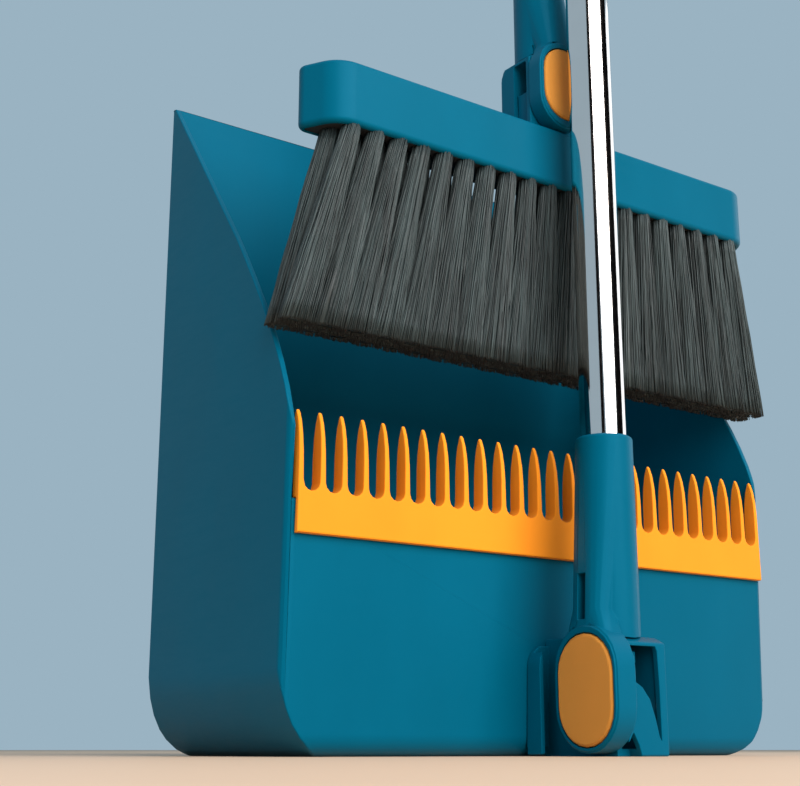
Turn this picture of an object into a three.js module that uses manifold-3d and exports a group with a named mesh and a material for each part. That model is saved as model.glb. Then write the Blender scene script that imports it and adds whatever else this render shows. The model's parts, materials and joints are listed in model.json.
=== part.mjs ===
// Upright dust pan with a long-handled brush stored in its open mouth.
//
// Millimetres, +Z up. The pan stands on its closed end with its lip up: X runs along its width,
// Y runs from the hood (front) to the floor plate (back). The parts are drawn with Y = 0 at the
// hood's front edge, and the whole set is then moved so that the origin is in the middle of the
// pan's closed end, on the floor.

import * as THREE from 'three';
import { mergeVertices } from 'three/addons/utils/BufferGeometryUtils.js';
import Module from 'manifold-3d';

// ---------------------------------------------------------------- driving dimensions

const GAP = 0.3;            // air left between two pieces that touch
const HOOD_LEAN = 0.0388;   // the hood's face leans back towards the closed end
const ORIGIN_Y = 66;        // middle of the closed end

const PAN = { halfWidth: 142, depth: 120, height: 315, wall: 2.6, endWall: 3, edge: 4 };
const HOOD = { top: 100, straight: 133, bottomRadius: 9 };
const COMB = { bottom: 86, valley: 103.3, tip: 137, teeth: 27, endTooth: 137.3 };
COMB.root = 1.35;           // half thickness of a tooth at its root
COMB.point = 0.8;           // half thickness of a tooth near its tip
COMB.front = -1.2;
COMB.back = 5.8;

const POLE_Y = -32.5;       // axis of the pan's pole
const BROOM_Y = 2;          // axis of the broom's pole
const TUBE = { outer: 10.2, inner: 9.5, bore: 10.55 };
const PIN = { radius: 3, bore: 3.25 };

const FOLD = { y: -33.8, z: 20, clear: 30.4 };     // hinge of the pan's pole, along X
const TURN = { z: 311.5, clear: 24.2 };     // hinge of the brush head, along Y

const PLATE = { face: -17.6, back: -6.5, half: 19, bottom: 1, top: 54 };
const PAN_BUTTON = { halfWidth: 16.3, bottom: 3.6, top: 50, face: -18.2, thick: 2.6 };
const BLOCK = { left: -6, right: 17.2, front: -47, top: 50 };
const SOCKET = { bottom: 46.6, back: 50.6, top: 136.3, radius: 12.7, boreBottom: 55 };

const NECK_PLATE = { face: -15.5, back: -6.5, half: 15.5, bottom: 292.5, top: 338 };
const NECK_BUTTON = { halfWidth: 13, bottom: 297, top: 334, face: -16.1, thick: 2.2 };
const NECK = { bottom: 329, top: 384, radius: 12.7, boreBottom: 346 };
const YOKE = { halfWidth: 14.5, front: -6, back: 15.5, bottom: 292.1, top: 333 };

const HEAD = { halfFront: 128.6, halfBack: 141.2, front: -12.7, back: 9.7, bottom: 262.4, top: 291.8 };
HEAD.frontRadius = 15.5;
HEAD.backRadius = 5;
HEAD.edge = 2.2;
const RECESS = { inset: 1.3, depth: 4 };
const BRISTLE = { halfBottom: 149, top: 262.1, bottom: 173 };

const PAN_POLE = { bottom: 80, joint: 470, top: 845 };
const BROOM_POLE = { bottom: 348, joint: 712, top: 935 };
const COUPLER = { radius: 12.2, half: 21 };
const GRIP = { length: 118, radius: 14.7, below: 105 };
const CLIP = { bottom: 642, top: 664, wall: 2.5 };

// ---------------------------------------------------------------- materials

const teal = plastic(0x00739a, 0.42);
const tealDark = plastic(0x00607f, 0.45);
const yellow = plastic(0xfdb32f, 0.4);
const orange = plastic(0xe0942f, 0.42);
const chrome = metal(0xd9dcde, 0.08);
const steel = metal(0xa8adb0, 0.3);
const bristle = plastic(0x4c5052, 0.8);
const bristleBase = plastic(0x2b2e30, 0.7);

function plastic(color, roughness) {
  return new THREE.MeshStandardMaterial({ color, roughness, metalness: 0 });
}

function metal(color, roughness) {
  return new THREE.MeshStandardMaterial({ color, roughness, metalness: 1 });
}

// ---------------------------------------------------------------- solids and outlines

const wasm = await Module();
wasm.setup();

function signedVolume(positions, index) {
  const [a, b, c] = [new THREE.Vector3(), new THREE.Vector3(), new THREE.Vector3()];
  let volume = 0;
  for (let i = 0; i < index.length; i += 3) {
    a.fromArray(positions, 3 * index[i]);
    b.fromArray(positions, 3 * index[i + 1]);
    c.fromArray(positions, 3 * index[i + 2]);
    volume += a.dot(b.cross(c)) / 6;
  }
  return volume;
}

/** Shared vertices, no collapsed triangles, faces pointing out. */
function closed(source) {
  const geometry = source.clone();
  geometry.deleteAttribute('normal');
  geometry.deleteAttribute('uv');
  const merged = mergeVertices(geometry, 1e-4);
  const positions = merged.getAttribute('position').array;
  const index = [];
  for (let i = 0; i < merged.index.count; i += 3) {
    const [a, b, c] = [0, 1, 2].map((k) => merged.index.getX(i + k));
    if (a !== b && b !== c && c !== a) index.push(a, b, c);
  }
  if (signedVolume(positions, index) < 0) index.reverse();
  merged.setIndex(index);
  return merged;
}

function toSolid(geometry) {
  const merged = closed(geometry);
  return new wasm.Manifold(new wasm.Mesh({
    numProp: 3,
    vertProperties: Float32Array.from(merged.getAttribute('position').array),
    triVerts: Uint32Array.from(merged.index.array),
  }));
}

function toGeometry(solid) {
  const mesh = solid.getMesh();
  const geometry = new THREE.BufferGeometry();
  const positions = Float32Array.from(mesh.vertProperties);
  geometry.setAttribute('position', new THREE.BufferAttribute(positions, 3));
  geometry.setIndex(Array.from(mesh.triVerts));
  return geometry;
}

const union = (...solids) => solids.reduce((sum, next) => sum.add(next));
const hull = (...solids) => wasm.Manifold.hull(solids);
const cut = (solid, ...tools) => tools.reduce((rest, tool) => rest.subtract(tool), solid);

/** Outline [u, v] pushed along an axis: (y, z) along x, (x, z) along y, (x, y) along z. */
function prismGeometry(outline, axis, from, to) {
  const shape = new THREE.Shape(outline.map(([u, v]) => new THREE.Vector2(u, v)));
  const geometry = new THREE.ExtrudeGeometry(shape, { depth: to - from, bevelEnabled: false });
  const [x, y, z] = [[1, 0, 0], [0, 1, 0], [0, 0, 1]].map((v) => new THREE.Vector3(...v));
  const frames = { x: [y, z, x], y: [x, z, y.clone().negate()], z: [x, y, z] };
  const offset = { x: [from, 0, 0], y: [0, to, 0], z: [0, 0, from] }[axis];
  const matrix = new THREE.Matrix4().makeBasis(...frames[axis]).setPosition(...offset);
  return geometry.applyMatrix4(matrix);
}

const prism = (...values) => toSolid(prismGeometry(...values));

function box(x0, x1, y0, y1, z0, z1) {
  return prism([[x0, y0], [x1, y0], [x1, y1], [x0, y1]], 'z', z0, z1);
}

/** Outline whose corners [u, v, radius] are replaced by arcs. */
function rounded(corners, steps = 5) {
  return corners.flatMap(([u, v, radius = 0], i) => {
    if (!radius) return [[u, v]];
    const corner = new THREE.Vector2(u, v);
    const [before, after] = [corners.at(i - 1), corners[(i + 1) % corners.length]]
      .map(([pu, pv]) => new THREE.Vector2(pu, pv).sub(corner).normalize());
    const half = Math.acos(before.dot(after)) / 2;
    const middle = before.clone().add(after).normalize();
    const centre = corner.clone().addScaledVector(middle, radius / Math.sin(half));
    const start = corner.clone().addScaledVector(before, radius / Math.tan(half)).sub(centre);
    const end = corner.clone().addScaledVector(after, radius / Math.tan(half)).sub(centre);
    const sweep = Math.atan2(start.cross(end), start.dot(end));
    return Array.from({ length: steps + 1 }, (_, k) => {
      const point = start.clone().rotateAround(new THREE.Vector2(), sweep * k / steps).add(centre);
      return [point.x, point.y];
    });
  });
}

/** Upright rounded outline about u = centre. */
function pill(centre, half, bottom, top, radius, steps = 6) {
  return rounded([
    [centre - half, bottom, radius], [centre + half, bottom, radius],
    [centre + half, top, radius], [centre - half, top, radius],
  ], steps);
}

/** Body of revolution about the vertical line at (x, y); profile is [radius, z]. */
function turnedGeometry(profile, x, y, segments = 32) {
  const points = profile.map(([radius, z]) => new THREE.Vector2(radius, z));
  return new THREE.LatheGeometry(points, segments).rotateX(Math.PI / 2).translate(x, y, 0);
}

const turned = (...values) => toSolid(turnedGeometry(...values));

function sleeveProfile(outer, inner, bottom, top) {
  return [[inner, bottom], [outer, bottom], [outer, top], [inner, top], [inner, bottom]];
}

const rodProfile = (radius, bottom, top) => [[0, bottom], [radius, bottom], [radius, top], [0, top]];

/** Rod along x or y through the point given by the two other coordinates. */
function rodAlong(axis, radius, from, to, a, b, segments = 24) {
  const geometry = new THREE.LatheGeometry(
    rodProfile(radius, from, to).map(([r, h]) => new THREE.Vector2(r, h)), segments);
  if (axis === 'x') return geometry.rotateZ(-Math.PI / 2).translate(0, a, b);
  return geometry.translate(a, 0, b);
}

const hoodFace = (z) => HOOD_LEAN * (HOOD.straight - z);

// ---------------------------------------------------------------- pan

/** Rim of a side wall: from the lip down to the hood, as (y, z). */
function rimPoints() {
  const blend = new THREE.CubicBezierCurve(
    new THREE.Vector2(50, 224.7), new THREE.Vector2(26, 190),
    new THREE.Vector2(4, 155), new THREE.Vector2(hoodFace(128), 128));
  return [[117.6, 314.6], ...blend.getPoints(9).map(({ x, y }) => [x, y])];
}

/** Width outline with swept-in bottom corners, as (x, z). */
function frontOutline(inset, bottom, top) {
  const half = PAN.halfWidth - inset;
  const corner = new THREE.QuadraticBezierCurve(
    new THREE.Vector2(half, 34), new THREE.Vector2(half - 2, bottom + 7),
    new THREE.Vector2(half - 21, bottom));
  const right = corner.getPoints(6).map(({ x, y }) => [x, y]);
  const left = right.map(([x, z]) => [-x, z]);
  return [...left, ...right.reverse(), [half, top], [-half, top]];
}

/** Outer block with rounded upright front corners that follow the hood's lean. */
function leaningBlock() {
  const { halfWidth: half, depth, edge } = PAN;
  const outline = rounded([[-half, depth], [-half, 0, edge], [half, 0, edge], [half, depth]], 4);
  const geometry = prismGeometry(outline, 'z', 0, 330);
  const position = geometry.getAttribute('position');
  for (let i = 0; i < position.count; i += 1) {
    const share = 1 - position.getY(i) / depth;
    position.setY(i, position.getY(i) + share * hoodFace(position.getZ(i)));
  }
  return toSolid(geometry);
}

function panShell() {
  const { halfWidth: half, depth, height, wall, endWall } = PAN;
  const outerSide = rounded([
    [depth, 0, 3], [depth, height, 0.8], ...rimPoints(), [hoodFace(0), 0, HOOD.bottomRadius],
  ]);
  const innerSide = rounded([
    [depth - wall, endWall, 2], [depth - wall, 340], [-40, 340], [-40, HOOD.top],
    [hoodFace(HOOD.top) + wall, HOOD.top], [hoodFace(endWall) + wall, endWall, 6.5],
  ]);
  const outer = leaningBlock()
    .intersect(prism(outerSide, 'x', -half - 1, half + 1))
    .intersect(prism(frontOutline(0, 0, 330), 'y', -10, depth + 1));
  const inner = prism(innerSide, 'x', wall - half, half - wall)
    .intersect(prism(frontOutline(wall, endWall, 350), 'y', -50, depth));
  return cut(outer, inner, ...bracketScrewAxes().map(([x, z]) => screwHole(x, z, 2)));
}

/** Comb outline across the width: a strip with U-shaped valleys between the teeth. */
function combOutline() {
  const { bottom, valley, tip, teeth, endTooth, root, point } = COMB;
  const pitch = 2 * endTooth / (teeth - 1);
  const radius = pitch / 2 - root;
  const top = [];
  for (let i = 0; i < teeth; i += 1) {
    const x = endTooth - i * pitch;
    if (i > 0) top.push([x + root, valley + radius]);
    top.push([x + point, tip + 0.5], [x - point, tip + 0.5]);
    if (i === teeth - 1) break;
    top.push([x - root, valley + radius]);
    for (let k = 1; k < 6; k += 1) {
      const angle = Math.PI * k / 6;
      top.push([x - pitch / 2 + radius * Math.cos(angle), valley + radius * (1 - Math.sin(angle))]);
    }
  }
  const end = endTooth + root;
  return [[-end, bottom], [end, bottom], ...top.filter(([x]) => Math.abs(x) < end)];
}

/** Comb section as (y, z): it hooks over the hood's edge and each tooth is a pointed fin. */
function combSection() {
  const { bottom, tip, front, back } = COMB;
  const peak = [(front + back) / 2, tip];
  return [
    [front, bottom + 0.6], [front + 0.6, bottom], [hoodFace(bottom) - GAP, bottom],
    [hoodFace(HOOD.top) - GAP, HOOD.top + 0.4], [4.3, HOOD.top + 0.4], [4.4, 91],
    [back, 91], [back, 119], [back - 0.4, 126], [back - 1.4, 132], [back - 2.6, 135.6], peak,
    [front + 2.6, 135.6], [front + 1.4, 132], [front + 0.4, 126], [front, 119],
  ];
}

function panComb() {
  const end = COMB.endTooth + COMB.root;
  return prism(combOutline(), 'y', COMB.front - 1, COMB.back + 1)
    .intersect(prism(combSection(), 'x', -end - 1, end + 1));
}

// ---------------------------------------------------------------- hinge bracket on the hood

const bracketScrewAxes = () => [[1.5, 12], [1.5, 40], [11, 26]];

function screwHole(x, z, radius) {
  return toSolid(rodAlong('y', radius, -4.6, 12, x, z, 16));
}

/** Hollow block beside the knuckle, open to the front through a sickle-shaped window. */
function bracketBlock() {
  const { left, right, front, top } = BLOCK;
  const side = rounded([
    [hoodFace(0) - GAP, 0], [hoodFace(top) - GAP, top], [-34, top], [-41.5, 49],
    [front, 46.4, 1.2], [front, 0, 1],
  ], 3);
  const window = [
    [left + 2.6, 45], [right - 5.8, 45], [right - 4.8, 43], [right - 4.2, 30], [right - 4, 6],
    [right - 5.2, 8], [right - 7, 15], [right - 10, 23], [3, 28], [left + 2.6, 31.5],
  ];
  const notch = [[left - 1, -1], [1.7, -1], [-0.5, 5], [-3.2, 9.5], [left - 1, 4]];
  return cut(
    prism(side, 'x', left, right),
    box(left + 2.8, right - 3.6, front + 2.8, -6, 3, top - 3.2),
    prism(window, 'y', front - 1, front + 4),
    prism(notch, 'y', front - 1, front + 7),
  );
}

function panBracket() {
  const base = [
    [hoodFace(4) - GAP, 4], [hoodFace(47) - GAP, 47], [hoodFace(47) - 2.6, 47],
    [hoodFace(4) - 2.6, 4],
  ];
  const flange = rounded([[-16.6, 0], [0, 0], [0, 48], [-16.6, 48, 10]], 5);
  const ear = rounded([[-5, 0.6, 1], [4.4, 0.6], [3, 48, 3.5], [-5, 46, 3]], 5);
  const solid = union(
    bracketBlock(),
    prism(base, 'x', -16.6, BLOCK.left + 1).intersect(prism(flange, 'y', -4, 10)),
    prism(ear, 'x', -16.6, -14.4).intersect(prism(flange, 'y', -8, 10)),
    box(BLOCK.left + 2.5, 4.5, -42, -35, 38, 43),
  );
  const pinBore = toSolid(rodAlong('x', PIN.bore, -10, 15.6, FOLD.y, FOLD.z));
  return cut(solid, pinBore, ...bracketScrewAxes().map(([x, z]) => screwHole(x, z, 1.95)));
}

/** Pan-head screw along -Y, entered from inside the hood. */
function bracketScrew(x, z) {
  const seat = hoodFace(z) + PAN.wall + 0.5;
  const profile = [[0, -4], [1, -4], [1.6, -3], [1.6, seat], [3.4, seat], [3.1, seat + 1.6],
    [2, seat + 2.2], [0, seat + 2.2]];
  const points = profile.map(([r, h]) => new THREE.Vector2(r, h));
  const body = toSolid(new THREE.LatheGeometry(points, 14).translate(x, 0, z));
  const [low, high] = [seat + 1.1, seat + 4];
  return cut(body, box(x - 1.9, x + 1.9, low, high, z - 0.4, z + 0.4),
    box(x - 0.4, x + 0.4, low, high, z - 1.9, z + 1.9));
}

// ---------------------------------------------------------------- socket of the pan's pole

/** Round socket with softened ends and a blind bore for the tube. */
function socketProfile({ bottom, top, radius, boreBottom }) {
  return [
    [0, bottom], [radius - 0.6, bottom], [radius, bottom + 0.6], [radius, top - 1],
    [radius - 1, top], [TUBE.bore, top], [TUBE.bore, boreBottom], [0, boreBottom],
  ];
}

/** Slab behind the button plate's face with rounded front edges. */
function slab(face, back, half, radius, bottom, top) {
  const outline = rounded([[back, half], [face, half, radius], [face, -half, radius], [back, -half]]);
  return prism(outline, 'z', bottom, top).translate([0, POLE_Y, 0]);
}

/** Shoulder that runs from the round socket down and out into the button plate. */
function socketShoulder() {
  const { back } = PLATE;
  const collar = turned(rodProfile(SOCKET.radius, 126, 130), 0, POLE_Y);
  const nose = slab(-17.2, back, 9, 6, 50.2, 50.6);
  const brow = slab(-16.3, back, 8.4, 6, 62, 63);
  const root = slab(-16.7, back, 15, 6, 34, 44);
  return union(hull(collar, nose), hull(brow, root));
}

function panSocket() {
  const { face, back, half, bottom, top } = PLATE;
  const outer = prism(pill(FOLD.y, half, bottom, top, 18.9, 6), 'x', face + 0.8, back);
  const rim = prism(pill(FOLD.y, half - 0.8, bottom + 0.8, top - 0.8, 18.1, 6), 'x', face, -8);
  const { halfWidth, bottom: low, top: high } = PAN_BUTTON;
  const pocket = prism(
    pill(FOLD.y, halfWidth + 0.4, low - 0.4, high + 0.4, 16.3, 6), 'x', face - 1, back - 3);
  const solid = union(outer, rim, turned(socketProfile(SOCKET), 0, POLE_Y), socketShoulder());
  const bore = turned(rodProfile(TUBE.bore, SOCKET.boreBottom, SOCKET.top + 1), 0, POLE_Y);
  const slot = box(-20, -4, POLE_Y - 1.8, POLE_Y + 2.8, 56, 75.5);
  const pinBore = toSolid(rodAlong('x', PIN.bore, -12, 0, FOLD.y, FOLD.z));
  const sweep = toSolid(rodAlong('x', FOLD.clear, back, 20, FOLD.y, FOLD.z, 72));
  const behind = box(back, 20, FOLD.y, 0, SOCKET.bottom - 1, SOCKET.back);
  return cut(solid, bore, pocket, slot, pinBore, sweep, behind);
}

/** Oval push button with a softened rim and a short guide stem. */
function buttonAlong(axis, centre, { halfWidth, bottom, top, face, thick }) {
  const layer = (inset, from, to) => prism(
    pill(centre, halfWidth - inset, bottom + inset, top - inset, halfWidth - inset - 0.1, 6),
    axis, from, to);
  const middle = (bottom + top) / 2;
  const stem = axis === 'x'
    ? rodAlong('x', 2.6, face + 1, face + thick + 2, centre, middle, 16)
    : rodAlong('y', 2.6, face + 1, face + thick + 1.2, centre, middle, 16);
  return union(layer(0, face + 0.9, face + thick), layer(0.35, face + 0.35, face + 1.2),
    layer(0.9, face, face + 0.6), toSolid(stem));
}

class Helix extends THREE.Curve {
  constructor(radius, length, turns) {
    super();
    Object.assign(this, { radius, length, turns });
  }

  getPoint(t, target = new THREE.Vector3()) {
    const angle = 2 * Math.PI * this.turns * t;
    const [u, v] = [this.radius * Math.cos(angle), this.radius * Math.sin(angle)];
    return target.set(u, v, this.length * t);
  }
}

/** Compression spring that starts at the origin and runs along +Z. */
function springGeometry(radius, length, turns, wire = 0.45) {
  const section = Array.from({ length: 6 }, (_, k) => new THREE.Vector2(
    wire * Math.cos(k * Math.PI / 3), wire * Math.sin(k * Math.PI / 3)));
  return closed(new THREE.ExtrudeGeometry(new THREE.Shape(section), {
    steps: Math.round(turns * 10), extrudePath: new Helix(radius, length, turns),
  }));
}

// ---------------------------------------------------------------- poles

function tube(y, bottom, top) {
  return closed(turnedGeometry(sleeveProfile(TUBE.outer, TUBE.inner, bottom, top), 0, y));
}

function coupler(y, joint) {
  const { radius, half } = COUPLER;
  const [low, high] = [joint - half, joint + half];
  return closed(turnedGeometry([
    [TUBE.bore, low], [radius - 0.7, low], [radius, low + 1.2], [radius, joint - 1.4],
    [radius - 0.6, joint - 0.8], [radius - 0.6, joint + 0.8], [radius, joint + 1.4],
    [radius, high - 1.2], [radius - 0.7, high], [TUBE.bore, high], [TUBE.bore, low],
  ], 0, y, 24));
}

/** Grip sleeve with shallow finger waves. */
function grip(y, poleTop) {
  const bottom = poleTop - GRIP.below;
  const waves = Array.from({ length: 10 }, (_, k) => {
    const t = k / 9;
    const swell = 0.8 * Math.sin(3 * Math.PI * t) ** 2;
    return [GRIP.radius - 1.2 + swell + 0.4 * t, bottom + 4 + t * (GRIP.length - 8)];
  });
  const top = bottom + GRIP.length;
  return closed(turnedGeometry([
    [TUBE.bore, bottom], [TUBE.outer + 2, bottom], [TUBE.outer + 2.8, bottom + 1], ...waves,
    [TUBE.outer + 3, top], [TUBE.bore, top], [TUBE.bore, bottom],
  ], 0, y, 24));
}

/** End cap: a plug, a collar and a flat hanging loop. */
function gripCap(y, poleTop) {
  const seat = poleTop - GRIP.below + GRIP.length + GAP;
  const collar = turned([
    [0, poleTop + 1], [TUBE.bore - 0.4, poleTop + 1], [TUBE.bore - 0.4, seat], [13, seat],
    [13.8, seat + 1.2], [13.2, seat + 7], [10, seat + 10], [0, seat + 10],
  ], 0, y, 28);
  const loop = rounded([
    [-12, seat + 5, 3], [12, seat + 5, 3], [13.5, seat + 38, 12], [-13.5, seat + 38, 12],
  ], 5);
  const hole = rounded([
    [-6.5, seat + 13.5, 3], [6.5, seat + 13.5, 3], [8, seat + 33.5, 7], [-8, seat + 33.5, 7],
  ], 5);
  return cut(union(collar, prism(loop, 'y', y - 4, y + 4)), prism(hole, 'y', y - 9, y + 9));
}

/** Storage clip: a closed ring on the pan's pole and a springy jaw for the broom's pole. */
function poleClip() {
  const { bottom, top, wall } = CLIP;
  const disc = (y, radius) => turned(rodProfile(radius, bottom, top), 0, y, 36);
  const bore = (y) => turned(rodProfile(TUBE.bore + 0.1, bottom - 1, top + 1), 0, y, 36);
  const mouth = prism([
    [0, BROOM_Y], [16, BROOM_Y + 14.5], [16, 24], [-16, 24], [-16, BROOM_Y + 14.5],
  ], 'z', bottom - 1, top + 1);
  const web = box(-4.5, 4.5, POLE_Y + 9.5, BROOM_Y - 9.5, bottom + 2, top - 2);
  return cut(
    union(disc(POLE_Y, TUBE.outer + wall), disc(BROOM_Y, TUBE.outer + wall), web),
    bore(POLE_Y), bore(BROOM_Y), mouth);
}

// ---------------------------------------------------------------- brush head

const yokeScrewX = [-9.6, 9.6];
const YOKE_SCREW_Y = 4;

/** Head outline drawn in by inset, as (x, y): the ends run outwards towards the back. */
function headPlan(inset) {
  const { halfFront, halfBack, front, back, frontRadius, backRadius } = HEAD;
  const [depth, flare] = [back - front, halfBack - halfFront];
  const slant = Math.hypot(depth, flare);
  const near = halfFront - inset * (slant - flare) / depth;
  const far = halfBack - inset * (slant + flare) / depth;
  return rounded([
    [-near, front + inset, frontRadius - inset], [near, front + inset, frontRadius - inset],
    [far, back - inset, backRadius - inset], [-far, back - inset, backRadius - inset],
  ], 5);
}

function brushHead() {
  const { bottom, top, edge } = HEAD;
  const block = union(
    prism(headPlan(0), 'z', bottom + edge, top - edge),
    prism(headPlan(0.65), 'z', bottom + 0.65, top - 0.65),
    prism(headPlan(edge), 'z', bottom, top));
  const recess = prism(headPlan(RECESS.inset), 'z', bottom + edge + 0.4, bottom + RECESS.depth);
  const mouth = prism(headPlan(edge + 0.3), 'z', bottom - 1, bottom + edge + 0.5);
  const holes = yokeScrewX.flatMap((x) => [
    turned(rodProfile(2, bottom, top + 1), x, YOKE_SCREW_Y, 16),
    turned(rodProfile(4, bottom, bottom + RECESS.depth + 3), x, YOKE_SCREW_Y, 16)]);
  return cut(block, recess, mouth, ...holes);
}

function bristleBasePlate() {
  const outline = headPlan(HEAD.edge + 0.6);
  return closed(prismGeometry(outline, 'z', HEAD.bottom + 0.5, HEAD.bottom + RECESS.depth - GAP));
}

/** One row of tufts as a plain flared sheet, given its limits along y at the top and bottom. */
function bristleRow(halfTop, [topFront, topBack], [bottomFront, bottomBack]) {
  const { halfBottom, top, bottom } = BRISTLE;
  const front = [[-halfTop, top], [-halfBottom, bottom], [halfBottom, bottom], [halfTop, top]];
  const section = [[topFront, top], [bottomFront, bottom], [bottomBack, bottom], [topBack, top]];
  return prism(front, 'y', -20, 40).intersect(prism(section, 'x', -halfBottom - 1, halfBottom + 1));
}

/** Hollow yoke on the head, with a window through both sides. */
function headYoke() {
  const { halfWidth: half, front, back, bottom, top } = YOKE;
  const arc = Array.from({ length: 9 }, (_, k) => {
    const x = half - k * half / 4;
    return [x, Math.min(top, TURN.z + Math.sqrt((TURN.clear - GAP) ** 2 - x * x))];
  });
  const face = [[-half, bottom], [half, bottom], ...arc];
  const side = rounded([[front, bottom], [back, bottom], [back, top + 0.2, 9], [front, top + 0.2]]);
  const window = rounded([[-3.4, 314, 1], [5.6, 314, 1], [5.6, 329, 1], [-3.4, 329, 1]], 2);
  const cheek = [[-3.4, 297], [5.6, 297], [5.6, 315], [-3.4, 315]];
  const pinBore = toSolid(rodAlong('y', PIN.bore, -12, 11.6, 0, TURN.z));
  const holes = yokeScrewX.map((x) => turned(rodProfile(1.95, 290, 308), x, YOKE_SCREW_Y, 16));
  const body = prism(face, 'y', front, back).intersect(prism(side, 'x', -20, 20));
  return cut(body, prism(window, 'x', -20, 20), pinBore, ...holes,
    prism(cheek, 'x', -20, -12.4), prism(cheek, 'x', 12.4, 20));
}

/** Screw that holds the yoke, entered from the head's underside. */
function yokeScrew(x) {
  const seat = HEAD.bottom + RECESS.depth + 3 - 0.4;
  return closed(turnedGeometry([
    [0, seat - 2.2], [2.6, seat - 2.2], [3.4, seat - 1.4], [3.4, seat], [1.6, seat], [1.6, 306],
    [1, 307.2], [0, 307.2],
  ], x, YOKE_SCREW_Y, 14));
}

// ---------------------------------------------------------------- neck of the broom

/** Shoulder that runs from the round neck down into the button plate. */
function neckShoulder() {
  const collar = turned(rodProfile(NECK.radius, 366, 370), 0, BROOM_Y);
  const step = (half, face, bottom, top) => {
    const corners = [[-half, NECK_PLATE.back], [-half, face, 6.5], [half, face, 6.5]];
    return prism(rounded([...corners, [half, NECK_PLATE.back]]), 'z', bottom, top);
  };
  const nose = step(10.4, -14.9, 336.3, 337);
  const root = step(14.4, -14.5, 318, 326);
  return union(hull(collar, nose), hull(nose, root));
}

function broomNeck() {
  const { face, back, half, bottom, top } = NECK_PLATE;
  const outer = prism(pill(0, half, bottom, top, 15.4, 6), 'y', face + 0.8, back);
  const rim = prism(pill(0, half - 0.8, bottom + 0.8, top - 0.8, 14.6, 6), 'y', face, -8);
  const { halfWidth, bottom: low, top: high } = NECK_BUTTON;
  const pocket = prism(
    pill(0, halfWidth + 0.4, low - 0.4, high + 0.4, 13, 6), 'y', face - 1, back - 2.4);
  const solid = union(outer, rim, turned(socketProfile(NECK), 0, BROOM_Y), neckShoulder());
  const bore = turned(rodProfile(TUBE.bore, NECK.boreBottom, NECK.top + 1), 0, BROOM_Y);
  const pinBore = toSolid(rodAlong('y', PIN.bore, -12, 0, 0, TURN.z));
  const sweep = toSolid(rodAlong('y', TURN.clear, NECK_PLATE.back + 0.2, 20, 0, TURN.z, 72));
  return cut(solid, bore, pocket, pinBore, sweep);
}

// ---------------------------------------------------------------- assembly

const set = new THREE.Group();
set.position.y = -ORIGIN_Y;

function add(name, shape, material) {
  const geometry = shape.isBufferGeometry ? closed(shape) : toGeometry(shape);
  geometry.computeVertexNormals();
  const mesh = new THREE.Mesh(geometry, material);
  mesh.name = name;
  set.add(mesh);
  return mesh;
}

function addPan() {
  add('pan_shell', panShell(), teal);
  add('pan_comb', panComb(), yellow);
  add('pan_bracket', panBracket(), teal);
  bracketScrewAxes().forEach(([x, z], i) => add(`bracket_screw_${i + 1}`, bracketScrew(x, z), steel));
  add('pan_pin', rodAlong('x', PIN.radius, -9.3, 15.3, FOLD.y, FOLD.z), steel);
}

function addPanPole() {
  const { bottom, joint, top } = PAN_POLE;
  add('pan_socket', panSocket(), teal);
  add('pan_button', buttonAlong('x', FOLD.y, PAN_BUTTON), orange);
  const spring = add('pan_button_spring', springGeometry(5.5, 5.1, 3), steel);
  spring.rotation.y = Math.PI / 2;
  spring.position.set(-15.1, FOLD.y, (PAN_BUTTON.bottom + PAN_BUTTON.top) / 2);
  add('pan_tube_lower', tube(POLE_Y, bottom, joint - 0.3), chrome);
  add('pan_coupler', coupler(POLE_Y, joint), tealDark);
  add('pan_tube_upper', tube(POLE_Y, joint + 0.3, top), chrome);
  add('pan_grip', grip(POLE_Y, top), tealDark);
  add('pan_grip_cap', gripCap(POLE_Y, top), orange);
  add('pole_clip', poleClip(), tealDark);
}

function addHead() {
  add('broom_head', brushHead(), teal);
  add('bristle_base', bristleBasePlate(), bristleBase);
  add('bristles_front', bristleRow(123, [-12.1, -3.8], [-4, 5.6]), bristle);
  add('bristles_back', bristleRow(127, [-3, 5.4], [6.2, 15.8]), bristle);
  add('head_yoke', headYoke(), teal);
  yokeScrewX.forEach((x, i) => add(`yoke_screw_${i + 1}`, yokeScrew(x), steel));
  add('head_pin', rodAlong('y', PIN.radius, -8.7, 11.3, 0, TURN.z), steel);
}

function addBroomPole() {
  const { bottom, joint, top } = BROOM_POLE;
  add('broom_neck', broomNeck(), teal);
  add('broom_button', buttonAlong('y', 0, NECK_BUTTON), orange);
  const spring = add('broom_button_spring', springGeometry(4.6, 3.6, 3, 0.4), steel);
  spring.rotation.x = -Math.PI / 2;
  spring.position.set(0, -13.3, (NECK_BUTTON.bottom + NECK_BUTTON.top) / 2);
  add('broom_tube_lower', tube(BROOM_Y, bottom, joint - 0.3), chrome);
  add('broom_coupler', coupler(BROOM_Y, joint), tealDark);
  add('broom_tube_upper', tube(BROOM_Y, joint + 0.3, top), chrome);
  add('broom_grip', grip(BROOM_Y, top), tealDark);
  add('broom_grip_cap', gripCap(BROOM_Y, top), orange);
}

addPan();
addPanPole();
addHead();
addBroomPole();

const model = new THREE.Group();
model.add(set);
export default model;
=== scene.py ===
import json
import math
import random

import bmesh
import bpy
from mathutils import Matrix, Vector


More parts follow.
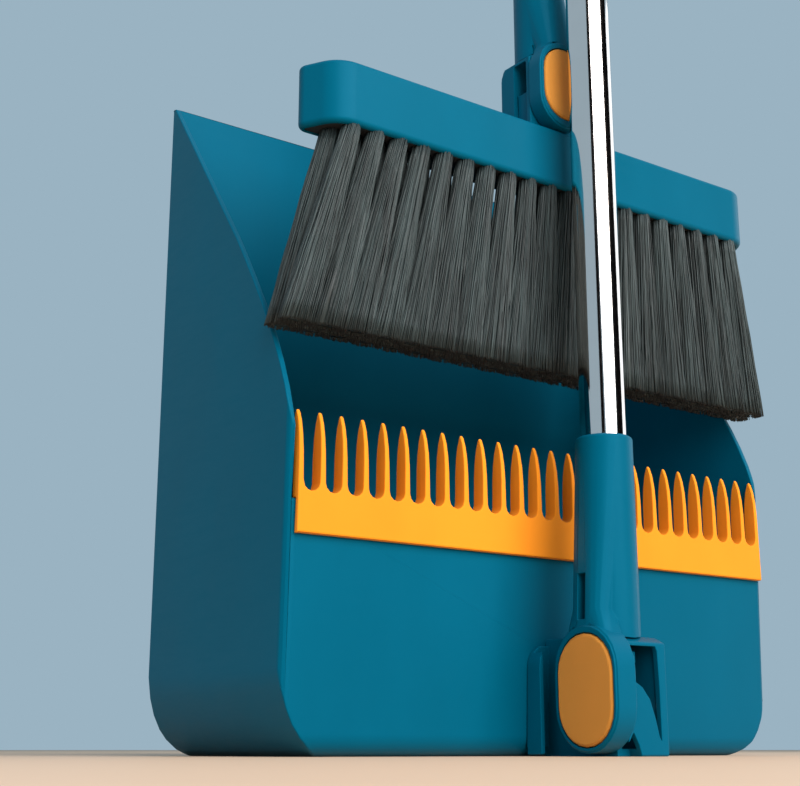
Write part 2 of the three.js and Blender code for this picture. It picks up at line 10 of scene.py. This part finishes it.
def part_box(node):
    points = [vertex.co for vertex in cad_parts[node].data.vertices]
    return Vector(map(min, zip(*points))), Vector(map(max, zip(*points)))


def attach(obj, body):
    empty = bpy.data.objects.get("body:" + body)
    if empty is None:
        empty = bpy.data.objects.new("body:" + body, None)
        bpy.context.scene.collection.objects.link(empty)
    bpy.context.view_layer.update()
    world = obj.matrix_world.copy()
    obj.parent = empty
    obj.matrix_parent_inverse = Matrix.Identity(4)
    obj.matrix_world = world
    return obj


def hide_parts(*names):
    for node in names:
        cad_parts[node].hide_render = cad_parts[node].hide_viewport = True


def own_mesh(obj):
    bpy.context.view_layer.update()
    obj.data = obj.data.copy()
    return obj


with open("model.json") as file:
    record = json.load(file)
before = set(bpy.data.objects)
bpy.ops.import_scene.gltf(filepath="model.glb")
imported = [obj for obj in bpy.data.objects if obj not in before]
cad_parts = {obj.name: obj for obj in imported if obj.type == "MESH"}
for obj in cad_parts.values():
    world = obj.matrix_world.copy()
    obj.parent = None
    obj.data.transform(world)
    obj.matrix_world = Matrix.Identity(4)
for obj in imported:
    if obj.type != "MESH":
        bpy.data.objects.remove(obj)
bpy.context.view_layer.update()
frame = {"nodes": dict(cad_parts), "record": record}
MM = 0.001

# ------------------------------------------------------------------ camera


def add_camera():
    data = bpy.data.cameras.new("camera")
    data.lens, data.sensor_width = 61.85, 36.0
    data.clip_start, data.clip_end = 0.01, 50.0
    camera = bpy.data.objects.new("camera", data)
    camera.location = (-0.4214, -0.5282, 0.0028)
    camera.rotation_euler = [math.radians(a) for a in (104.54, 0.0, -35.82)]
    bpy.context.scene.collection.objects.link(camera)
    bpy.context.scene.camera = camera


add_camera()

# ------------------------------------------------------------------ materials


class Finish:
    """A node material: add() makes a node, sets its inputs and links those that are sockets."""

    def __init__(self, name):
        self.material = bpy.data.materials.new(name)
        self.material.use_nodes = True
        self.tree = self.material.node_tree
        self.shader = self.tree.nodes["Principled BSDF"]

    def add(self, kind, inputs=None, **properties):
        node = self.tree.nodes.new(kind)
        for key, value in properties.items():
            setattr(node, key, value)
        for key, value in (inputs or {}).items():
            self.put(node.inputs[key], value)
        return node

    def put(self, socket, value):
        if isinstance(value, bpy.types.NodeSocket):
            self.tree.links.new(value, socket)
        else:
            socket.default_value = value

    def set(self, **values):
        """Shader inputs by name, with underscores for spaces."""
        for key, value in values.items():
            self.put(self.shader.inputs[key.replace("_", " ")], value)

    def place(self, scale=(1, 1, 1)):
        """Object coordinates, stretched by scale."""
        where = self.add("ShaderNodeTexCoord")
        mapping = self.add("ShaderNodeMapping", {"Vector": where.outputs["Object"], "Scale": scale})
        return mapping.outputs["Vector"]

    def noise(self, where, scale, detail=2.0, roughness=0.5):
        inputs = {"Vector": where, "Scale": scale, "Detail": detail, "Roughness": roughness}
        return self.add("ShaderNodeTexNoise", inputs).outputs["Fac"]

    def span(self, value, low, high, start=0.3, end=0.7):
        inputs = {"Value": value, "From Min": start, "From Max": end, "To Min": low, "To Max": high}
        return self.add("ShaderNodeMapRange", inputs).outputs["Result"]

    def mix(self, share, first, second):
        node = self.add("ShaderNodeMix", data_type="RGBA")
        for socket, value in zip((node.inputs[0], node.inputs[6], node.inputs[7]),
                                 (share, first, second)):
            self.put(socket, value)
        return node.outputs[2]

    def bump(self, height, strength, distance, below=None):
        inputs = {"Height": height, "Strength": strength, "Distance": distance}
        if below is not None:
            inputs["Normal"] = below
        return self.add("ShaderNodeBump", inputs).outputs["Normal"]


def shade(colour, factor):
    return tuple(min(1.0, c * factor) for c in colour[:3]) + (1.0,)


def sheen_tint(colour):
    """The plastic's own hue, washed out: keeps its sheen from greying the colour."""
    peak = max(colour)
    return tuple(0.08 + 0.92 * c / peak for c in colour[:3]) + (1.0,)


def satin_plastic(name, colour, roughness=0.4):
    """Moulded plastic: fine eroded grain, soft flow mottling, faint handling scuffs, and sharp
    edges painted lighter, partly as rubbed wear and partly as a painted edge highlight.
    """
    f = Finish(name)
    here = f.place()
    flow = f.noise(f.place((1, 1, 0.45)), 26, 3.0, 0.55)
    speck = f.noise(here, 900, 2.0)
    body = f.mix(f.span(flow, 0, 1), shade(colour, 0.955), shade(colour, 1.04))
    edge = f.add("ShaderNodeNewGeometry").outputs["Pointiness"]
    # Sharp edges lightened by pointiness: part rubbed wear, part painted highlight where rounded
    # edges would catch the light.
    worn_and_highlit_edge = f.span(edge, 0.0, 0.35, 0.515, 0.6)
    f.set(Base_Color=f.mix(worn_and_highlit_edge, body, shade(colour, 1.25)))
    scuff = f.noise(f.place((1, 1, 6)), 60, 4.0, 0.7)
    uneven = f.add("ShaderNodeMath", {0: f.span(flow, -0.03, 0.03), 1: f.span(scuff, -0.02, 0.05)},
                   operation="ADD").outputs[0]
    rough = f.add("ShaderNodeMath", {0: uneven, 1: roughness}, operation="ADD").outputs[0]
    f.set(Roughness=rough)
    grain = f.bump(speck, 0.35, 0.00002)
    ripple = f.bump(f.noise(here, 70, 2.0), 0.12, 0.00012, grain)
    f.set(Normal=ripple)
    f.shader.inputs["IOR"].default_value = 1.5
    f.shader.inputs["Specular IOR Level"].default_value = 0.16
    f.shader.inputs["Specular Tint"].default_value = sheen_tint(colour)
    return f.material


def chrome(name):
    """Polished tube: long faint draw lines, a light haze, and a warm base tint that is painted
    reflection colour, greying the bluish surroundings it reflects.
    """
    f = Finish(name)
    lines = f.noise(f.place((1, 1, 0.006)), 3200, 3.0, 0.6)
    haze = f.noise(f.place(), 34, 4.0, 0.6)
    # The warm tint is painted reflection colour: it stands in for a grey reflector and greys the
    # blue world seen in the tube.
    f.set(Base_Color=f.mix(f.span(haze, 0, 1), (0.86, 0.78, 0.74, 1), (0.91, 0.83, 0.79, 1)))
    f.set(Roughness=f.span(haze, 0.045, 0.1))
    f.set(Normal=f.bump(lines, 0.05, 0.00001))
    f.shader.inputs["Metallic"].default_value = 1.0
    return f.material


def plated_steel(name):
    """Zinc-plated hardware."""
    f = Finish(name)
    cloud = f.noise(f.place(), 420, 4.0, 0.65)
    f.set(Base_Color=f.mix(f.span(cloud, 0, 1), (0.42, 0.43, 0.44, 1), (0.62, 0.62, 0.61, 1)))
    f.set(Roughness=f.span(cloud, 0.24, 0.42))
    f.set(Normal=f.bump(f.noise(f.place(), 2600, 2.0), 0.2, 0.00001))
    f.shader.inputs["Metallic"].default_value = 1.0
    return f.material


def bristle_fibre(name, dark, light, tip):
    """Synthetic bristles: each fibre has its own grey, streaked along its length, and the bottom
    ends are darkened to near black as painted shade of the brush's underside; tip is the height of
    those ends."""
    f = Finish(name)
    own = f.add("ShaderNodeNewGeometry").outputs["Random Per Island"]
    streak = f.noise(f.place((1, 1, 0.09)), 620, 3.0, 0.6)
    clump = f.noise(f.place((1, 1, 0.2)), 95, 2.0, 0.5)
    both = f.add("ShaderNodeMath", {0: own, 1: f.span(streak, 0, 1)}, operation="ADD").outputs[0]
    tone = f.add("ShaderNodeMath", {0: both, 1: f.span(clump, 0, 1)}, operation="ADD").outputs[0]
    grey = f.mix(f.span(tone, 0, 1, 0.6, 2.4), dark, light)
    height = f.add("ShaderNodeSeparateXYZ", {"Vector": f.place()}).outputs["Z"]
    # Painted shade: the fibres darken to near black over their last 1.3 mm, standing in for the
    # shaded underside of the brush.
    painted_shade_underside = f.span(height, 1, 0, tip, tip + 1.3 * MM)
    f.set(Base_Color=f.mix(painted_shade_underside, grey, shade(dark, 0.05)))
    f.set(Roughness=f.span(streak, 0.42, 0.6))
    f.set(Normal=f.bump(streak, 0.2, 0.00005))
    return f.material


TEAL = (0.0, 0.086, 0.147)
TEAL_DARK = (0.0, 0.062, 0.108)
YELLOW = (0.82, 0.250, 0.016)
ORANGE = (0.57, 0.232, 0.042)
CHARCOAL = (0.028, 0.03, 0.032)
FIBRE_DARK = (0.010, 0.0155, 0.016, 1)
FIBRE_LIGHT = (0.046, 0.069, 0.071, 1)

MATERIALS = {
    "teal_plastic": satin_plastic("teal_satin", TEAL, 0.4),
    "dark_teal_plastic": satin_plastic("dark_teal_satin", TEAL_DARK, 0.45),
    "yellow_plastic": satin_plastic("yellow_satin", YELLOW, 0.38),
    "orange_plastic": satin_plastic("orange_satin", ORANGE, 0.42),
    "chrome_tube": chrome("chrome"),
    "steel_hardware": plated_steel("plated_steel"),
    "bristle_fibre": bristle_fibre("bristle_fibre", FIBRE_DARK, FIBRE_LIGHT,
                                   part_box("bristles_front")[0].z),
    "bristle_base_plastic": satin_plastic("bristle_base", CHARCOAL, 0.55),
}
SLOT_OF = {part["node"]: part["material_slot"] for part in frame["record"]["subparts"]}
BODY_OF = {node: body for body, nodes in frame["record"]["behaviour"]["bodies"].items()
           for node in nodes}

# ------------------------------------------------------------------ making pieces

WELD = 2e-6
FLAT_ANGLE = math.radians(0.8)


def new_object(name, mesh):
    thing = bpy.data.objects.new(name, mesh)
    bpy.context.scene.collection.objects.link(thing)
    return thing


def mesh_from(work, name):
    mesh = bpy.data.meshes.new(name)
    work.to_mesh(mesh)
    work.free()
    return mesh


def settle(thing):
    """Applies the modifiers."""
    graph = bpy.context.evaluated_depsgraph_get()
    mesh = bpy.data.meshes.new_from_object(thing.evaluated_get(graph))
    thing.modifiers.clear()
    thing.data = mesh
    return thing


def smooth(thing, angle=38):
    thing.data.shade_smooth()
    thing.data.set_sharp_from_angle(angle=math.radians(angle))


def soften(thing, width, segments, angle=32):
    """Rounds every edge sharper than angle, and keeps the flat faces flat."""
    bevel = thing.modifiers.new("bevel", "BEVEL")
    bevel.width, bevel.segments = width, segments
    bevel.limit_method, bevel.angle_limit = "ANGLE", math.radians(angle)
    bevel.use_clamp_overlap = False
    bevel.miter_outer = "MITER_ARC"
    settle(thing)
    smooth(thing)
    thing.modifiers.new("normals", "WEIGHTED_NORMAL").keep_sharp = True
    return settle(thing)


def stands_for(thing, node):
    """The piece takes a CAD node's place, body and material slot."""
    slot = SLOT_OF[node]
    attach(thing, BODY_OF[node])
    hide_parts(node)
    thing.data.materials.clear()
    thing.data.materials.append(MATERIALS[slot])
    return thing


def refined(node, width, segments):
    """The CAD node with its edges rounded. Its flat faces are merged and then cut into large
    triangles, because a bevel spoils a merged face that runs round a hole."""
    work = bmesh.new()
    work.from_mesh(frame["nodes"][node].data)
    bmesh.ops.remove_doubles(work, verts=work.verts, dist=WELD)
    bmesh.ops.dissolve_limit(work, angle_limit=FLAT_ANGLE, verts=work.verts,
                             edges=work.edges, use_dissolve_boundaries=False)
    bmesh.ops.triangulate(work, faces=[f for f in work.faces if len(f.verts) > 4])
    thing = soften(new_object(node + "_look", mesh_from(work, node)), width, segments)
    return stands_for(thing, node)


def lathe(name, node, profile, x=0.0, y=0.0, turns=72, angle=38):
    """Closed profile [radius, z] in mm turned about the vertical line at (x, y) in metres."""
    work = bmesh.new()
    rings = [[work.verts.new((x + r * MM * math.cos(a), y + r * MM * math.sin(a), z * MM))
              for r, z in profile] for a in (2 * math.pi * i / turns for i in range(turns))]
    count = len(profile)
    for i in range(turns):
        for k in range(count):
            after, up = rings[(i + 1) % turns], (k + 1) % count
            work.faces.new((rings[i][k], after[k], after[up], rings[i][up]))
    bmesh.ops.recalc_face_normals(work, faces=work.faces)
    thing = new_object(name, mesh_from(work, name))
    smooth(thing, angle)
    return stands_for(thing, node)


# ------------------------------------------------------------------ plastic parts

EDGES = {
    # node: (width of its rounded edges in mm, segments)
    "pan_shell": (0.55, 3), "pan_comb": (0.5, 3), "pan_bracket": (0.4, 2),
    "pan_socket": (0.4, 2), "pan_button": (0.3, 2), "pan_grip_cap": (0.6, 3),
    "pole_clip": (0.4, 2), "bristle_base": (0.3, 2), "head_yoke": (0.6, 3),
    "broom_neck": (0.4, 2), "broom_button": (0.3, 2), "broom_grip_cap": (0.6, 3),
}
for part, (width, segments) in EDGES.items():
    refined(part, width * MM, segments)

# ------------------------------------------------------------------ screws, pins and springs

SCREWS = ["bracket_screw_1", "bracket_screw_2", "bracket_screw_3", "yoke_screw_1", "yoke_screw_2"]
for part in SCREWS + ["pan_pin", "head_pin"]:
    refined(part, 0.15 * MM, 2)

SPRINGS = {
    # node: (its button's joint, direction of the press, share of its length left when pressed)
    "pan_button_spring": ("pan_button_press", (1, 0, 0), 0.48),
    "broom_button_spring": ("broom_button_press", (0, 1, 0), 0.42),
}
for part, (joint, axis, keep) in SPRINGS.items():
    coil = frame["nodes"][part]
    coil.data.materials.clear()
    coil.data.materials.append(MATERIALS["steel_hardware"])
    coil.data.shade_smooth()
    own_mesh(coil)

# ------------------------------------------------------------------ tubes


def tube(node, wall=0.6):
    """A drawn steel tube with rolled ends; wall is its thickness in mm."""
    low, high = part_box(node)
    middle = (low + high) / 2
    outer = (high.x - low.x) / 2 / MM
    inner = outer - wall
    bottom, top = low.z / MM, high.z / MM
    profile = [[inner, bottom + 0.3], [inner + 0.15, bottom + 0.06], [outer - 0.25, bottom],
               [outer - 0.06, bottom + 0.08], [outer, bottom + 0.3], [outer, top - 0.3],
               [outer - 0.06, top - 0.08], [outer - 0.25, top], [inner + 0.15, top - 0.06],
               [inner, top - 0.3]]
    lathe(node + "_look", node, profile, middle.x, middle.y, 96)


for part in ["pan_tube_lower", "pan_tube_upper", "broom_tube_lower", "broom_tube_upper"]:
    tube(part)

# ------------------------------------------------------------------ couplers and grips

BORE = 10.55  # radius in mm of the hole that the tube runs through


def turned_piece(node, outline):
    """Lathes the outline that outline(radius, bottom, top) gives for a node's box, in mm."""
    low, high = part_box(node)
    middle = (low + high) / 2
    radius = (high.x - low.x) / 2 / MM
    profile = outline(radius, low.z / MM, high.z / MM)
    lathe(node + "_look", node, profile, middle.x, middle.y, 72, 30)


def coupler_outline(radius, bottom, top):
    """A sleeve with softened ends, three ring grooves near each end and a parting groove."""
    middle = (bottom + top) / 2
    grooves = [bottom + d for d in (5, 7.4, 9.8)] + [top - d for d in (9.8, 7.4, 5)]
    points = [(radius - 0.8, bottom), (radius - 0.25, bottom + 0.2), (radius, bottom + 0.9)]
    for z, deep, wide in sorted([(z, 0.35, 0.55) for z in grooves] + [(middle, 0.6, 0.9)]):
        points += [(radius, z - wide), (radius - deep * 0.7, z - wide * 0.45), (radius - deep, z),
                   (radius - deep * 0.7, z + wide * 0.45), (radius, z + wide)]
    points += [(radius, top - 0.9), (radius - 0.25, top - 0.2), (radius - 0.8, top)]
    return [(BORE, bottom)] + points + [(BORE, top)]


def grip_outline(radius, bottom, top):
    """A soft sleeve with three finger swells and fine rings round it."""
    points = [(radius - 2.2, bottom), (radius - 1.6, bottom + 0.3), (radius - 1.4, bottom + 1.2)]
    swells, rings, steps = 3, 32, 192
    for k in range(steps + 1):
        t = k / steps
        swell = 0.8 * math.sin(swells * math.pi * t) ** 2
        ring = 0.13 * (1 - math.cos(2 * math.pi * t * rings)) if 0.08 < t < 0.92 else 0
        z = bottom + 3.2 + t * (top - bottom - 6)
        points.append((radius - 1.2 + swell + 0.35 * t - ring, z))
    points += [(radius - 1.0, top - 1.2), (radius - 1.3, top - 0.3), (radius - 2.0, top)]
    return [(BORE, bottom)] + points + [(BORE, top)]


for part in ["pan_coupler", "broom_coupler"]:
    turned_piece(part, coupler_outline)
for part in ["pan_grip", "broom_grip"]:
    turned_piece(part, grip_outline)

# ------------------------------------------------------------------ brush head

HEAD_LOW, HEAD_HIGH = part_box("broom_head")
HALF_FRONT, HALF_BACK = 128.6 * MM, 141.2 * MM  # half lengths of its front and back
FRONT_CORNER, BACK_CORNER = 15.5 * MM, 5 * MM


def arc_corner(before, corner, after, radius, steps):
    """Points of the arc that rounds a corner of an outline."""
    to_before, to_after = (before - corner).normalized(), (after - corner).normalized()
    half = to_before.angle(to_after) / 2
    centre_point = corner + (to_before + to_after).normalized() * radius / math.sin(half)
    start = corner + to_before * radius / math.tan(half) - centre_point
    end = corner + to_after * radius / math.tan(half) - centre_point
    sweep = math.atan2(start.cross(end), start.dot(end))
    turned = [Matrix.Rotation(sweep * k / steps, 2) @ start for k in range(steps + 1)]
    return [centre_point + point for point in turned]


def head_outline(inset, steps=14):
    """The head's plan drawn in by inset: its ends run outwards towards the back."""
    front, back = HEAD_LOW.y, HEAD_HIGH.y
    depth, flare = back - front, HALF_BACK - HALF_FRONT
    slant = math.hypot(depth, flare)
    near = HALF_FRONT - inset * (slant - flare) / depth
    far = HALF_BACK - inset * (slant + flare) / depth
    corners = [(-near, front + inset, FRONT_CORNER), (near, front + inset, FRONT_CORNER),
               (far, back - inset, BACK_CORNER), (-far, back - inset, BACK_CORNER)]
    points = [Vector((x, y)) for x, y, _ in corners]
    return [point for i, (_, _, radius) in enumerate(corners)
            for point in arc_corner(points[i - 1], points[i], points[(i + 1) % 4],
                                    radius - inset, steps)]


def round_over(radius, inset, z, start, stop, steps=6):
    """Quarter round in section as (inset, z): the centre lies radius further in."""
    angles = [math.radians(start + (stop - start) * k / steps) for k in range(steps + 1)]
    return [(inset + radius - radius * math.cos(a), z + radius * math.sin(a)) for a in angles]


def brush_head():
    """The head's block, lofted from its plan, with rounded edges and a shallow recess below."""
    bottom, top = HEAD_LOW.z, HEAD_HIGH.z
    lip, crown, wall, recess = 2.5 * MM, 1.9 * MM, 2.7 * MM, 4 * MM
    section = [(wall, bottom + recess), (wall, bottom + 0.25 * MM), (lip + 0.05 * MM, bottom)]
    section += round_over(lip, 0, bottom + lip, -90, 0)
    section += round_over(crown, 0, top - crown, 0, 90)
    work = bmesh.new()
    rings = [[work.verts.new((p.x, p.y, z)) for p in head_outline(inset)] for inset, z in section]
    for lower, upper in zip(rings, rings[1:]):
        for i in range(len(lower)):
            j = (i + 1) % len(lower)
            work.faces.new((lower[i], lower[j], upper[j], upper[i]))
    work.faces.new(rings[0])
    work.faces.new(rings[-1])
    bmesh.ops.recalc_face_normals(work, faces=work.faces)
    thing = new_object("broom_head_look", mesh_from(work, "broom_head_look"))
    smooth(thing, 50)
    thing.modifiers.new("normals", "WEIGHTED_NORMAL").keep_sharp = True
    stands_for(settle(thing), "broom_head")


brush_head()

# ------------------------------------------------------------------ bristles

ROWS = {
    # node: (tufts, pitch, centre at the top and bottom along y from the head's front), in mm
    "bristles_front": (20, 12.5, 4.8, 13.5),
    "bristles_back": (21, 12.4, 13.8, 23.7),
}
TUFT_RADIUS = 4.1 * MM
SPREAD_WIDE, SPREAD_DEEP = 9.0 * MM, 4.3 * MM  # half a tuft's width and depth at its end
END_SPREAD = 3.0 * MM  # how far the row's last tufts spread outwards at their ends
END_MARGIN = 8.4 * MM  # from the last tuft's middle to the solid row's end, at the bottom
ROOT_DEPTH = 2.6 * MM  # how far the tufts stand inside the head
FIBRES_PER_TUFT = 215
FIBRE_STEPS = 12
CORE_SHARE, CORE_LENGTH = 0.72, 0.985
THIRD = 2 * math.pi / 3


class Strands:
    """Collects thin three-sided fibres and lofted cores as one mesh."""

    def __init__(self):
        self.points, self.faces = [], []

    def loft(self, rings):
        """Rings of points, each as long as the next, closed at both ends."""
        first, sides = len(self.points), len(rings[0])
        for ring in rings:
            self.points += ring
        for k in range(len(rings) - 1):
            for i in range(sides):
                a, b = first + k * sides + i, first + k * sides + (i + 1) % sides
                self.faces.append((a, b, b + sides, a + sides))
        self.faces.append(tuple(range(first + sides - 1, first - 1, -1)))
        last = first + (len(rings) - 1) * sides
        self.faces.append(tuple(range(last, last + sides)))

    def fibre(self, path, radius, turn):
        """A fibre along path that thins by a fifth towards its end."""
        rings = []
        for k, (x, y, z) in enumerate(path):
            r = radius * (1 - 0.2 * k / (len(path) - 1))
            rings.append([(x + r * math.cos(turn + a), y + r * math.sin(turn + a), z)
                          for a in (0, THIRD, 2 * THIRD)])
        self.loft(rings[::-1])

    def mesh(self, name):
        made = bpy.data.meshes.new(name)
        made.from_pydata(self.points, [], self.faces)
        made.update()
        return made


class Row:
    """A row of tufts: round where they leave the head, run together into one brush below."""

    def __init__(self, node, tufts, pitch, top_offset, bottom_offset):
        low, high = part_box(node)
        self.y_top = HEAD_LOW.y + top_offset * MM
        self.y_bottom = HEAD_LOW.y + bottom_offset * MM
        self.z_top, self.z_bottom = HEAD_LOW.z + ROOT_DEPTH, low.z
        half_top = (tufts - 1) / 2 * pitch * MM
        self.flare = (high.x - END_MARGIN) / half_top
        self.centres = [-half_top + i * pitch * MM for i in range(tufts)]

    def point(self, x, dx, dy, t, drift):
        """Point of a fibre at share t of its length: dx, dy is its place in the tuft, whose
        middle stands at x in the head, and drift is how far its end leans."""
        s = t ** 1.1
        wide = TUFT_RADIUS + (SPREAD_WIDE - TUFT_RADIUS) * s
        deep = TUFT_RADIUS + (SPREAD_DEEP - TUFT_RADIUS) * s
        flare = 1 + (self.flare - 1) * t
        side = self.centres[-1] * flare + TUFT_RADIUS + END_SPREAD * s
        px = max(-side, min(side, x * flare + wide * dx + drift * t))
        py = self.y_top + (self.y_bottom - self.y_top) * t + deep * dy
        return (px, py, self.z_top + (self.z_bottom - self.z_top) * t)


def bristle_row(node, *values):
    """Every tuft is a solid core with fibres all over it, each with its own drift and crimp."""
    chance = random.Random(node)
    row = Row(node, *values)
    strands = Strands()
    corners = [(math.cos(j * math.pi / 5), math.sin(j * math.pi / 5)) for j in range(10)]
    for x in row.centres:
        core = [[row.point(x, CORE_SHARE * dx, CORE_SHARE * dy, CORE_LENGTH * k / 5, 0)
                 for dx, dy in corners] for k in range(6)]
        strands.loft(core[::-1])
        for _ in range(FIBRES_PER_TUFT):
            angle, reach = chance.uniform(0, 2 * math.pi), math.sqrt(chance.uniform(0.35, 1.0))
            dx, dy = reach * math.cos(angle), reach * math.sin(angle)
            drift, sway = chance.gauss(0, 0.9) * MM, chance.gauss(0, 0.3) * MM
            lift = abs(chance.gauss(0, 0.35)) * MM
            phase, waves = chance.uniform(0, 6.28), chance.uniform(14, 22)
            path = []
            for k in range(FIBRE_STEPS):
                t = k / (FIBRE_STEPS - 1)
                px, py, pz = row.point(x, dx, dy, t, drift)
                crimp = 0.16 * MM * math.sin(phase + waves * t)
                path.append((px + sway * math.sin(math.pi * t) + crimp, py, pz + lift * t))
            strands.fibre(path, chance.uniform(0.24, 0.34) * MM, chance.uniform(0, 2.1))
    thing = new_object(node + "_look", strands.mesh(node))
    thing.data.shade_smooth()
    stands_for(thing, node)


for node, values in ROWS.items():
    bristle_row(node, *values)

# ------------------------------------------------------------------ floor and light


def panel(name, location, target, size, energy, colour=(1, 1, 1)):
    """A soft rectangular lamp that faces target."""
    data = bpy.data.lights.new(name, "AREA")
    data.shape, data.size, data.size_y = "RECTANGLE", size[0], size[1]
    data.energy, data.color = energy, colour
    lamp = bpy.data.objects.new(name, data)
    lamp.location = location
    lamp.rotation_euler = (Vector(target) - Vector(location)).to_track_quat("-Z", "Y").to_euler()
    bpy.context.scene.collection.objects.link(lamp)
    return lamp


def add_floor(half=6.0):
    """A plain pale floor, just under the pan."""
    mesh = bpy.data.meshes.new("floor")
    mesh.from_pydata([(-half, -half, 0), (half, -half, 0), (half, half, 0), (-half, half, 0)], [],
                     [(0, 1, 2, 3)])
    floor = new_object("floor", mesh)
    floor.location.z = -0.02 * MM
    f = Finish("pale_floor")
    f.set(Base_Color=(0.63, 0.43, 0.295, 1), Roughness=0.6)
    mesh.materials.append(f.material)


def add_world():
    world = bpy.data.worlds.new("studio")
    world.use_nodes = True
    backdrop = world.node_tree.nodes["Background"]
    backdrop.inputs["Color"].default_value = (0.36, 0.50, 0.60, 1)
    backdrop.inputs["Strength"].default_value = 0.9
    bpy.context.scene.world = world


def dark_card(name, azimuth, distance, width, height):
    """A black upright card, azimuth in degrees, that only shows in reflections."""
    angle = math.radians(azimuth)
    foot = Vector((distance * math.cos(angle), -0.1 + distance * math.sin(angle), 0.02))
    side = Vector((-math.sin(angle), math.cos(angle), 0)) * width / 2
    up = Vector((0, 0, height))
    mesh = bpy.data.meshes.new(name)
    mesh.from_pydata([foot - side, foot + side, foot + side + up, foot - side + up], [],
                     [(0, 1, 2, 3)])
    card = new_object(name, mesh)
    f = Finish(name)
    f.set(Base_Color=(0.004, 0.004, 0.005, 1), Roughness=0.9)
    f.shader.inputs["Specular IOR Level"].default_value = 0.0
    mesh.materials.append(f.material)
    card.visible_camera = card.visible_diffuse = card.visible_shadow = False


add_floor()
add_world()
panel("key", (-0.05, -1.72, 1.0), (0, -0.05, 0.24), (1.95, 1.8), 70, (1.0, 0.985, 0.96))
fill = panel("fill", (-1.75, -0.45, 0.8), (0, 0, 0.2), (2.0, 1.8), 6.0, (0.95, 0.98, 1.0))
fill.visible_glossy = False
panel("edge", (1.1, -0.2, 0.5), (0, -0.1, 0.3), (0.75, 1.0), 2.2)
dark_card("camera_card", 226.8, 0.85, 0.23, 1.2)
dark_card("side_card", 319.5, 0.95, 0.7, 1.4)
bpy.context.scene.view_settings.view_transform = "Standard"
